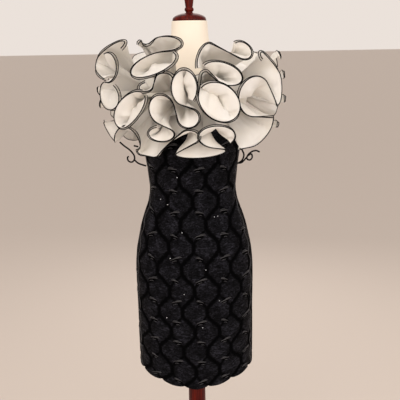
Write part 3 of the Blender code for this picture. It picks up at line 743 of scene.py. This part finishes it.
def ribbon_lace():
    """Black ribbon lace, of nylon and satin ribbon: mottled diamonds between matt grooves, with
    painted shade in the grooves and in the holes under the loops.
    """
    material, shader, add = new_material("ribbon_lace", Specular_IOR_Level=0.04)
    relief = add("Attribute", attribute_name="relief")
    cloth = add("TexCoord")["UV"]
    long_way = add("Mapping", Scale=(0.5, 1.0, 1.0), Vector=cloth)
    ruched = add("TexNoise", Scale=blotches(5.3 * MM), Detail=4.0, Distortion=1.4,
                 Vector=long_way["Vector"])
    cloud = add("TexNoise", Scale=blotches(36 * MM), Detail=3.0, Vector=cloth)
    mottle = add("Mix", Factor=0.35, A=ruched["Fac"], B=cloud["Fac"])
    shown = add("Math", operation="MULTIPLY", Value=[relief["Fac"], mottle["Result"]])["Value"]
    # Painted shade: where the relief value is low, in the grooves and in the holes under the loops,
    # the ramp paints the lace near black
    tint = add("ValToRGB", ((0.0, "#010102"), (0.28, "#020203"), (0.41, "#060608"),
                            (0.52, "#0E0E12"), (0.63, "#27272E")), Fac=shown)
    shine = add("MapRange", From_Min=0.3, From_Max=0.6, To_Min=0.9, To_Max=0.45, Value=shown)
    puckered = add("Bump", Strength=1.0, Distance=3.0 * MM, Height=ruched["Fac"])
    rows = add("TexWave", bands_direction="Y", Scale=bands(11.6 * MM), Distortion=9.0,
               Detail=3.0, Detail_Scale=1.8, Vector=cloth)
    gathered = add("Bump", Strength=0.35, Distance=1.8 * MM, Height=rows["Fac"],
                   Normal=puckered["Normal"])
    set_node(shader, Base_Color=tint["Color"], Roughness=shine["Result"],
             Normal=gathered["Normal"])
    return material


def satin_ribbon():
    """Black polyester satin ribbon: smooth, with bright glints where it turns."""
    material, shader, add = new_material("satin_ribbon", Base_Color=srgb("#1E1D22"),
                                         Roughness=0.32, Specular_IOR_Level=0.6)
    ribs = add("TexNoise", Scale=blotches(4.5 * MM), Detail=2.0, Vector=add("TexCoord")["Object"])
    ribbed = add("Bump", Strength=0.3, Distance=0.4 * MM, Height=ribs["Fac"])
    set_node(shader, Normal=ribbed["Normal"])
    return material


def cotton_cover():
    """Plain-woven cotton pulled tight over padding: matt, with a fine even thread."""
    material, shader, add = new_material("cotton_cover", Roughness=0.9, Specular_IOR_Level=0.2,
                                         Sheen_Weight=0.1)
    place = add("TexCoord")["Object"]
    cloud = add("TexNoise", Scale=blotches(110 * MM), Detail=3.0, Vector=place)
    tint = add("ValToRGB", ((0.3, "#EEE3D2"), (0.7, "#F3EADC")), Fac=cloud["Fac"])
    # The cotton's threads are 0.5 mm apart, drawn at 2.4 mm because finer ones wouldn't show
    threads = add("TexNoise", Scale=blotches(2.4 * MM), Detail=3.0, Vector=place)
    woven = add("Bump", Strength=0.35, Distance=0.5 * MM, Height=threads["Fac"])
    set_node(shader, Base_Color=tint["Color"], Normal=woven["Normal"])
    return material


def stained_mahogany():
    """Turned hardwood under red-brown stain and gloss lacquer: darker streaks along the grain."""
    material, shader, add = new_material("stained_mahogany", Roughness=0.4, Coat_Weight=0.12,
                                         Coat_Roughness=0.12, Specular_IOR_Level=0.08)
    stretched = add("Mapping", Scale=(1.0, 1.0, 0.08), Vector=add("TexCoord")["Object"])
    grain = add("TexNoise", Scale=blotches(7.7 * MM), Detail=5.0, Distortion=0.8,
                Vector=stretched["Vector"])
    tint = add("ValToRGB", ((0.30, "#2E0401"), (0.50, "#4A0A03"), (0.72, "#681705")),
               Fac=grain["Fac"])
    streaks = add("Bump", Strength=0.08, Distance=0.3 * MM, Height=grain["Fac"])
    set_node(shader, Base_Color=tint["Color"], Normal=streaks["Normal"])
    return material


def glass_bead():
    """Small faceted glass bead: bright glints."""
    return new_material("glass_bead", Base_Color=srgb("#D9DCE2"), Roughness=0.08,
                        Metallic=0.6, Specular_IOR_Level=0.9)[0]


def pale_floor():
    """Plain pale paint."""
    return new_material("pale_floor", Base_Color=srgb("#CDC3BB"), Roughness=0.9,
                        Specular_IOR_Level=0.1)[0]


def add_object(name, data):
    """Link a new object that holds a mesh, a curve, a lamp or a camera."""
    item = bpy.data.objects.new(name, data)
    bpy.context.scene.collection.objects.link(item)
    return item


def add_piece(name, mesh, material, nodes=(), wall=None, offset=0.0):
    """Add a mesh or curve as a piece that rides on the root and stands for CAD nodes."""
    mesh.materials.append(material)
    piece = add_object(name, mesh)
    if wall:
        shell = piece.modifiers.new("wall", "SOLIDIFY")
        shell.thickness = wall
        shell.offset = offset
    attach(piece, "root")
    if nodes:
        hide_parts(*nodes)
    return piece


def mesh_of(bm, name, smooth=True):
    """A mesh from a bmesh, which is then freed."""
    mesh = bpy.data.meshes.new(name)
    bm.to_mesh(mesh)
    bm.free()
    if smooth:
        mesh.shade_smooth()
    return mesh


def cloth_mesh(name, points, size, closed=False):
    """A grid of cloth moved to its points, with its UV map in metres."""
    rows, columns = points.shape[:2]
    bm = bmesh.new()
    bm.loops.layers.uv.new("UVMap")
    bmesh.ops.create_grid(bm, x_segments=columns - 1, y_segments=rows - 1, size=1.0,
                          calc_uvs=True)
    mesh = mesh_of(bm, name)
    # The operator lists its vertices row by row, as the points are
    mesh.vertices.foreach_set("co", points.ravel())
    uv = np.zeros(len(mesh.loops) * 2)
    mesh.uv_layers[0].data.foreach_get("uv", uv)
    mesh.uv_layers[0].data.foreach_set("uv", (uv.reshape(-1, 2) * np.array(size)).ravel())
    if closed:
        bm = bmesh.new()
        bm.from_mesh(mesh)
        bmesh.ops.remove_doubles(bm, verts=bm.verts, dist=CLOTH_WELD)
        bm.to_mesh(mesh)
        bm.free()
    mesh.update()
    return mesh


def path_curve(name, paths, radii):
    """A tube along each path of points."""
    curve = bpy.data.curves.new(name, "CURVE")
    curve.dimensions = "3D"
    curve.bevel_depth = max(radii)
    curve.bevel_resolution = 2
    curve.use_fill_caps = True
    for points, radius in zip(paths, radii):
        spline = curve.splines.new("POLY")
        spline.points.add(len(points) - 1)
        for place, point in zip(spline.points, points):
            place.co = (*point, 1.0)
            place.radius = radius / max(radii)
    return curve


def make_flounce(name, end_sweeps, folds, creases, cloth, cord):
    """One flounce: two plies that part at their edge, and a cord along each edge."""
    grid, turn, stretches = flounce_grid([Fold(*row) for row in folds], end_sweeps)
    level = LEVELS[:, None, None]
    ways = turn[None, :, None] * grid_normals(grid)
    relief = crease_relief([Crease(*row) for row in creases], stretches, grid[-1])
    grid = grid + relief[..., None] * ways
    behind = grid + (PLY_WALL + PLY_GAP * level ** 3) * ways
    depth = float(np.linalg.norm(np.diff(grid, axis=0), axis=2).sum(axis=0).mean())
    length = float(np.linalg.norm(np.diff(grid[-1], axis=0), axis=1).sum())
    cords = path_curve(name + "_cord", (grid[-1], behind[-1]), (CORD_RADIUS, CORD_RADIUS_BEHIND))
    cord_piece = add_piece(name + "_cord", cords, cord)
    for suffix, points in (("", grid), ("_under", behind)):
        mesh = cloth_mesh(name + "_ply" + suffix, points, (length, depth))
        piece = add_piece(name + "_ply" + suffix, mesh, cloth,
                          () if suffix else (name,), wall=PLY_WALL)


def turned(name, profile, material, node):
    """A turned piece. The profile runs from the axis at the bottom to the axis at the top."""
    bm = bmesh.new()
    points = [bm.verts.new((radius, 0.0, height)) for radius, height in profile]
    edges = [bm.edges.new(pair) for pair in zip(points, points[1:])]
    bmesh.ops.spin(bm, geom=points + edges, cent=(0, 0, 0), axis=(0, 0, 1), angle=TURN,
                   steps=ROUND_SIDES, use_merge=True)
    bmesh.ops.remove_doubles(bm, verts=bm.verts, dist=WOOD_WELD)
    bmesh.ops.recalc_face_normals(bm, faces=bm.faces)
    mesh = mesh_of(bm, name)
    mesh.set_sharp_from_angle(angle=SHARP_WOOD)
    return add_piece(name, mesh, material, (node,))


def rounded_profile(corners):
    """A turned profile whose inner corners are rounded."""
    out = [corners[0]]
    for before, corner, after in zip(corners, corners[1:], corners[2:]):
        corner = Vector(corner)
        to_before = Vector(before) - corner
        to_after = Vector(after) - corner
        reach = min(CORNER_ROUNDING, 0.45 * to_before.length, 0.45 * to_after.length)
        start = corner + reach * to_before.normalized()
        stop = corner + reach * to_after.normalized()
        for k in range(CORNER_STEPS + 1):
            t = k / CORNER_STEPS
            out.append(tuple((1 - t) ** 2 * start + 2 * t * (1 - t) * corner + t * t * stop))
    out.append(corners[-1])
    return out


def make_stand(wood):
    """Base, pole, neck cap and finial, by profiles of radius and height on the solids' form."""
    turned("base_disc", rounded_profile([
        (0.0, 0.0), (BASE_RADIUS - 0.006, 0.0), (BASE_RADIUS, 0.008),
        (BASE_RADIUS - 0.004, BASE_HEIGHT - 0.008), (BASE_RADIUS - 0.016, BASE_HEIGHT - 0.002),
        (BASE_RADIUS - 0.030, BASE_HEIGHT), (0.0, BASE_HEIGHT),
    ]), wood, "stand_base")
    bottom = BASE_HEIGHT + SEAM_GAP
    top = FORM_BOTTOM - SEAM_GAP
    turned("pole", rounded_profile([
        (0.0, bottom), (SOCKET_RADIUS, bottom), (SOCKET_RADIUS, bottom + 0.010),
        (SOCKET_RADIUS - 0.008, bottom + 0.016), (POLE_RADIUS + 0.004, bottom + 0.026),
        (POLE_RADIUS, bottom + SOCKET_HEIGHT), (POLE_RADIUS, top), (0.0, top),
    ]), wood, "stand_pole")
    cap = NECK_TOP + SEAM_GAP
    cap_top = cap + CAP_HEIGHT
    dome = [(CAP_RADIUS * math.cos(a), cap + CAP_RIM + (CAP_HEIGHT - CAP_RIM) * math.sin(a))
            for a in np.linspace(0.0, CAP_ARC, CAP_STEPS)]
    turned("cap", [(0.0, cap), (CAP_RADIUS - 0.0015, cap), (CAP_RADIUS, cap + 0.0015)] + dome
           + [(FINIAL[0][1] + 0.0005, cap_top), (0.0, cap_top)], wood, "neck_cap")
    foot = cap_top + SEAM_GAP
    heights = np.linspace(0.0, FINIAL[-1][0], FINIAL_STEPS)
    radii = smooth_table(FINIAL, heights)[:, 0]
    turned("finial_knob", [(0.0, foot)] + [(max(radius, 0.0), foot + up)
           for up, radius in zip(heights, radii)], wood, "finial")


def make_torso(cover):
    """The padded torso under its cotton cover."""
    heights = np.concatenate([np.linspace(*stretch, TORSO_STRETCH_ROWS)
                              for stretch in TORSO_STRETCHES])
    around, height = np.meshgrid(np.linspace(0.0, TURN, TORSO_COLUMNS), heights)
    out = np.where(height < SHEATH_TOP, TORSO_UNDER_DRESS, 0.0)
    points = figure_offset(around, height, out)
    mesh = cloth_mesh("torso_cover", points, TORSO_UV_SIZE, closed=True)
    bm = bmesh.new()
    bm.from_mesh(mesh)
    rims = [e for e in bm.edges if e.is_boundary]
    bmesh.ops.holes_fill(bm, edges=rims)
    bmesh.ops.recalc_face_normals(bm, faces=bm.faces)
    bm.to_mesh(mesh)
    bm.free()
    mesh.set_sharp_from_angle(angle=SHARP_COVER)
    piece = add_piece("torso_cover", mesh, cover, ("form_torso",))


def make_yoke(cloth, cord):
    """The collar base, and the cord round its neckline."""
    around, share = np.meshgrid(np.linspace(0.0, TURN, YOKE_COLUMNS),
                                np.linspace(0.0, 1.0, YOKE_ROWS))
    height = YOKE_BOTTOM + share * (neckline(around) - YOKE_BOTTOM)
    flare = SHEATH_EASE * np.clip(1 - share / YOKE_FLARE_SHARE, 0, 1)
    points = figure_offset(around, height, YOKE_OUT + flare)
    mesh = cloth_mesh("collar_base_cloth", points, YOKE_UV_SIZE, closed=True)
    rim = path_curve("neckline_cord", (points[-1],), (CORD_RADIUS_BEHIND,))
    cord_piece = add_piece("neckline_cord", rim, cord)
    piece = add_piece("collar_base_cloth", mesh, cloth, ("collar_base",),
                      wall=YOKE_WALL)


def side_table(front):
    """Length of the figure's quarter from its middle to the side, at many heights."""
    start = 0.0 if front else math.pi
    angles = np.linspace(start, 0.5 * math.pi, QUARTER_COLUMNS)
    levels = np.linspace(SHEATH_HEM - END_MARGIN, SHEATH_TOP + END_MARGIN, QUARTER_ROWS)
    around, height = np.meshgrid(angles, levels)
    points = figure_point(around, height)
    steps = np.linalg.norm(np.diff(points, axis=1), axis=2)
    lengths = np.concatenate([np.zeros((len(levels), 1)), np.cumsum(steps, axis=1)], axis=1)
    return levels, angles, lengths


SIDES = {front: side_table(front) for front in (True, False)}


def half_girth(height, front):
    """Length of cloth from centre front, or centre back, to the side seam."""
    levels, _, lengths = SIDES[front]
    return np.interp(height, levels, lengths[:, -1])


def around_at(share, height, front):
    """The angle of a place on the sheath: share runs from -1 to 1 across front or back."""
    levels, angles, lengths = SIDES[front]
    result = np.empty_like(share)
    for k in range(share.shape[0]):
        level = min(int(np.searchsorted(levels, height[k, 0])), len(levels) - 1)
        wanted = np.minimum(np.abs(share[k]), 1.0) * lengths[level, -1]
        result[k] = np.sign(share[k]) * np.interp(wanted, lengths[level], angles)
    return result


def diamond_depth(across, height):
    """How far inside its diamond each place of the flat cloth lies, in metres."""
    half = 0.5 * DIAMOND_WIDTH
    point = DIAMOND_PITCH - DIAMOND_SIDE
    slant = math.hypot(point, half)
    nearest = np.rint((height - DIAMOND_FIRST_ROW) / DIAMOND_PITCH)
    best = np.full_like(across, -1.0)
    lift = np.where(np.mod(across / half, 2) < 1, LOOP_STRIP_LIFT, 0.0)
    for step in (-1, 0, 1):
        row = nearest + step
        shift = np.where(np.mod(row, 2) > 0.5, half, 0.0)
        dx = np.abs((across - shift + half) % DIAMOND_WIDTH - half)
        dz = np.abs(height - DIAMOND_FIRST_ROW - row * DIAMOND_PITCH)
        side = half - dx
        edge = (side * point + (0.5 * DIAMOND_SIDE - dz) * half) / slant + lift
        best = np.maximum(best, np.minimum(side, edge))
    return best


def loop_places(half_width):
    """Middles of the satin loops on flat cloth: they cross every second slant of the lattice."""
    first, last = ((height - DIAMOND_FIRST_ROW) / DIAMOND_PITCH - 0.5
                   for height in (SHEATH_HEM + END_MARGIN, SHEATH_TOP - END_MARGIN))
    columns = int(half_width / DIAMOND_WIDTH) + 1
    return [((column + LOOP_COLUMN) * DIAMOND_WIDTH,
             DIAMOND_FIRST_ROW + (row + 0.5) * DIAMOND_PITCH)
            for row in range(math.ceil(first), math.floor(last) + 1)
            for column in range(-columns, columns + 1)]


def hole_shade(across, height, half_width):
    """1 in the holes inside the satin loops, fading to 0 around them: the cushion sinks there, and
    the lace is painted near black there as painted shade.
    """
    shade = np.zeros_like(across)
    for x, z in loop_places(half_width):
        away = np.hypot((across - x) / HOLE_LENGTH, (height + HOLE_DROP - z) / HOLE_HEIGHT)
        shade = np.maximum(shade, np.clip(HOLE_CORE - HOLE_FADE * away, 0, 1))
    return shade


def hem_height(height, share, lobes):
    """Lift the hem towards the sides and let it wave between the diamonds."""
    above = height - SHEATH_HEM
    wave = HEM_LOBE * (np.abs(np.cos(math.pi * lobes)) - 0.5)
    side = np.sin(0.5 * math.pi * np.minimum(np.abs(share), 1.0))
    rise = HEM_RISE_AT_SIDES * side ** HEM_RISE_POWER
    near = np.maximum(0.0, 1.0 - above / HEM_LOBE_REACH)
    far = np.maximum(0.0, 1.0 - above / HEM_RISE_REACH)
    return height + rise * far * far - wave * near


def on_sheath(front, across, height, out):
    """Places on the sheath for flat cloth's places."""
    share = across / half_girth(height, front)
    lifted = hem_height(height, share, across / DIAMOND_WIDTH)
    return figure_offset(around_at(share, lifted, front), lifted, out)


def sheath_points(front, left, right):
    """Points of a panel, the depth inside the diamonds, the holes' shade and the flat places."""
    rows = round((SHEATH_TOP - SHEATH_HEM) / SHEATH_STEP)
    columns = round((right - left) * SHEATH_HALF_GIRTH / SHEATH_STEP)
    trim = 0.5 * SEAM_GAP / half_girth(SHEATH_TOP, front)
    ends = (left + trim, right - trim) if front else (right - trim, left + trim)
    share, height = np.meshgrid(np.linspace(*ends, columns),
                                np.linspace(SHEATH_HEM, SHEATH_TOP, rows))
    across = share * half_girth(height, front)
    uneven = RUCHE_UNEVEN
    for up, along in RUCHE_WAVES:
        uneven = uneven * np.sin(up * height + along * across)
    depth = diamond_depth(across, height) + uneven
    swell = np.clip((depth - GROOVE_FLOOR) / (CUSHION_SLOPE * GROOVE_HALF_WIDTH), 0, 1)
    shade = hole_shade(across, height, half_girth(SHEATH_HEM, front))
    out = LACE_OUT + CUSHION_HEIGHT * np.sin(0.5 * math.pi * swell) * (1 - shade)
    return on_sheath(front, across, height, out), depth, shade, across


def make_sheath_panel(name, front, left, right, lace):
    """One panel of the sheath: raised lace, and a wall behind it."""
    points, depth, shade, across = sheath_points(front, left, right)
    size = (float(across.max() - across.min()), SHEATH_TOP - SHEATH_HEM)
    mesh = cloth_mesh(name, points, size)
    relief = mesh.attributes.new("relief", "FLOAT", "POINT")
    # The relief value carries the painted shade: 0 in the grooves and in the holes under the loops,
    # which the lace material paints near black, and 1 inside the diamonds
    shown = np.clip((depth + RELIEF_START) / (RELIEF_SLOPE * GROOVE_HALF_WIDTH), 0, 1) * (1 - shade)
    relief.data.foreach_set("value", shown.ravel().astype(np.float32))
    piece = add_piece(name + "_lace", mesh, lace, (name,),
                      wall=SHEATH_WALL, offset=-1.0)


def join_cloth(name, grids):
    """One mesh of many small grids of cloth."""
    bm = bmesh.new()
    for points in grids:
        rows, columns = points.shape[:2]
        made = bmesh.ops.create_grid(bm, x_segments=columns - 1, y_segments=rows - 1, size=1.0)
        for vert, place in zip(made["verts"], points.reshape(-1, 3)):
            vert.co = place
    bmesh.ops.recalc_face_normals(bm, faces=bm.faces)
    return mesh_of(bm, name)


def loop_grid(front, x, z, strand):
    """One strand of a satin loop: a ribbon that bulges above or below the dark hole."""
    up, width, share, shift = strand
    along, over = np.meshgrid(*(np.linspace(0.0, 1.0, count) for count in LOOP_GRID))
    vary = math.sin(LOOP_BEATS[0] * x + LOOP_BEATS[1] * z)
    arch = np.sin(math.pi * along)
    length = LOOP_LENGTH * share * (1 + LOOP_UNEVEN * vary)
    tilt = LOOP_TILT * (2 * along - 1) * vary * length
    away = LOOP_ARCH * arch + width * MM * over * np.sqrt(np.maximum(arch, LOOP_END_SHARE))
    height = z + tilt + up * MM + away
    across = x + LOOP_SHIFT * vary + (along - 0.5 + np.sign(vary) * shift) * length
    roll = np.sin(math.pi * (LOOP_ROLL[0] + LOOP_ROLL[1] * over))
    out = LACE_OUT + LOOP_SEAT * CUSHION_HEIGHT + LOOP_BULGE * arch * roll
    return on_sheath(front, across, height, out)


def make_loops(name, front, left, right, satin):
    """The satin loops of one panel, as one mesh with a thin wall."""
    grids = []
    for x, z in loop_places(half_girth(SHEATH_HEM, front)):
        span = half_girth(z, front)
        if left * span + LOOP_LENGTH < x < right * span - LOOP_LENGTH:
            grids += [loop_grid(front, x, z, strand) for strand in LOOP_STRANDS]
    add_piece(name, join_cloth(name, grids), satin, wall=LOOP_WALL)


def make_tapes(satin):
    """Wavy satin tapes down both sides, front and side seam."""
    height = np.linspace(SHEATH_HEM + TAPE_END_GAP, SHEATH_TOP - TAPE_END_GAP, TAPE_STEPS)[:, None]
    span = half_girth(height, True)
    paths = []
    for share in TAPE_SHARES:
        for side in (-1, 1):
            wave = TAPE_WAVE * np.sin(TURN * height / TAPE_PERIOD + side + TAPE_PHASE * share)
            across = side * np.minimum(share * span + wave, span)
            out = LACE_OUT + TAPE_SEAT * CUSHION_HEIGHT + np.zeros_like(across)
            if share == 1.0:
                out += SEAM_TAPE_SWELL * np.abs(wave) - SEAM_TAPE_SEAT * CUSHION_HEIGHT
            paths.append(on_sheath(True, across, height, out)[:, 0])
    curve = path_curve("side_tapes", paths, [TAPE_RADIUS] * len(paths))
    add_piece("side_tapes", curve, satin)


def make_beads(glass):
    """Glass beads sewn beside the grooves of the front."""
    bm = bmesh.new()
    out = np.array([[LACE_OUT + CUSHION_HEIGHT]])
    for x, z in BEADS:
        place = on_sheath(True, np.array([[x * MM]]), np.array([[z * MM]]), out)[0, 0]
        bmesh.ops.create_icosphere(bm, subdivisions=2, radius=BEAD_RADIUS,
                                   matrix=Matrix.Translation(place))
    add_piece("beads", mesh_of(bm, "beads", smooth=False), glass)


def smooth_path(points):
    """A smooth curve through a few chosen points."""
    points = np.array(points, float) * MM
    rows = []
    padded = np.vstack([2 * points[0] - points[1], points, 2 * points[-1] - points[-2]])
    spans = len(points) - 1
    for t in np.linspace(0.0, spans, LOOSE_CORD_STEPS):
        i = min(int(t), spans - 1)
        f = t - i
        a, b, c, d = padded[i:i + 4]
        rows.append(0.5 * (2 * b + (c - a) * f + (2 * a - 5 * b + 4 * c - d) * f * f
                           + (3 * b - a - 3 * c + d) * f ** 3))
    return np.array(rows)


def make_loose_cords(cord):
    """Ends of cord that have come away below the flounces and curl at both sides."""
    curve = path_curve("loose_cords", [smooth_path(points) for points in LOOSE_CORDS],
                       [LOOSE_CORD_RADIUS] * len(LOOSE_CORDS))
    add_piece("loose_cords", curve, cord)


def make_lights():
    """Plain soft studio light: a broad front light, a key from the upper left and an even sky."""
    for name, place, size, power, code in LAMPS:
        lamp = bpy.data.lights.new(name, "AREA")
        lamp.shape = "DISK"
        lamp.size = size
        lamp.energy = power
        lamp.color = srgb(code)[:3]
        item = add_object(name, lamp)
        item.location = place
        aim = Vector(LAMP_AIM) - Vector(place)
        item.rotation_euler = aim.to_track_quat("-Z", "Y").to_euler()
    scene = bpy.context.scene
    scene.world = bpy.data.worlds.new("studio")
    scene.world.use_nodes = True
    sky = scene.world.node_tree.nodes["Background"]
    set_node(sky, Color=srgb(SKY_COLOUR), Strength=SKY_STRENGTH)
    scene.view_settings.view_transform = "Standard"


def make_floor():
    """A wide plain floor."""
    bm = bmesh.new()
    bmesh.ops.create_grid(bm, x_segments=1, y_segments=1, size=FLOOR_HALF_WIDTH)
    mesh = mesh_of(bm, "floor", smooth=False)
    mesh.materials.append(pale_floor())
    add_object("floor", mesh)


def make_camera():
    """The photograph's viewpoint: chest high, close, looking down a little."""
    lens = bpy.data.cameras.new("camera")
    lens.lens = LENS
    lens.sensor_width = SENSOR_WIDTH
    camera = add_object("camera", lens)
    down = Matrix.Rotation(math.radians(90 - CAMERA_DOWN), 4, "X")
    roll = Matrix.Rotation(math.radians(CAMERA_ROLL), 4, "Z")
    camera.matrix_world = Matrix.Translation(CAMERA_PLACE) @ down @ roll
    bpy.context.scene.camera = camera


def build():
    """Make every piece of the scene."""
    make_camera()
    make_lights()
    make_floor()
    organza = silk_organza()
    cord = satin_cord()
    lace = ribbon_lace()
    satin = satin_ribbon()
    make_stand(stained_mahogany())
    make_torso(cotton_cover())
    for name, panel in PANELS.items():
        make_sheath_panel("sheath_" + name, *panel, lace)
    for name, panel in PANELS.items():
        make_loops(name + "_loops", *panel, satin)
    make_tapes(satin)
    make_beads(glass_bead())
    make_loose_cords(cord)
    make_yoke(organza, cord)
    for name, flounce in FRONT_FLOUNCES.items():
        make_flounce("flounce_" + name, *flounce, organza, cord)
    for name, row in BACK_FLOUNCES.items():
        tier = Tier(*row)
        make_flounce("flounce_" + name, (BACK_END_SWEEP, BACK_END_SWEEP), tier_folds(tier),
                     tier_creases(tier), organza, cord)


build()
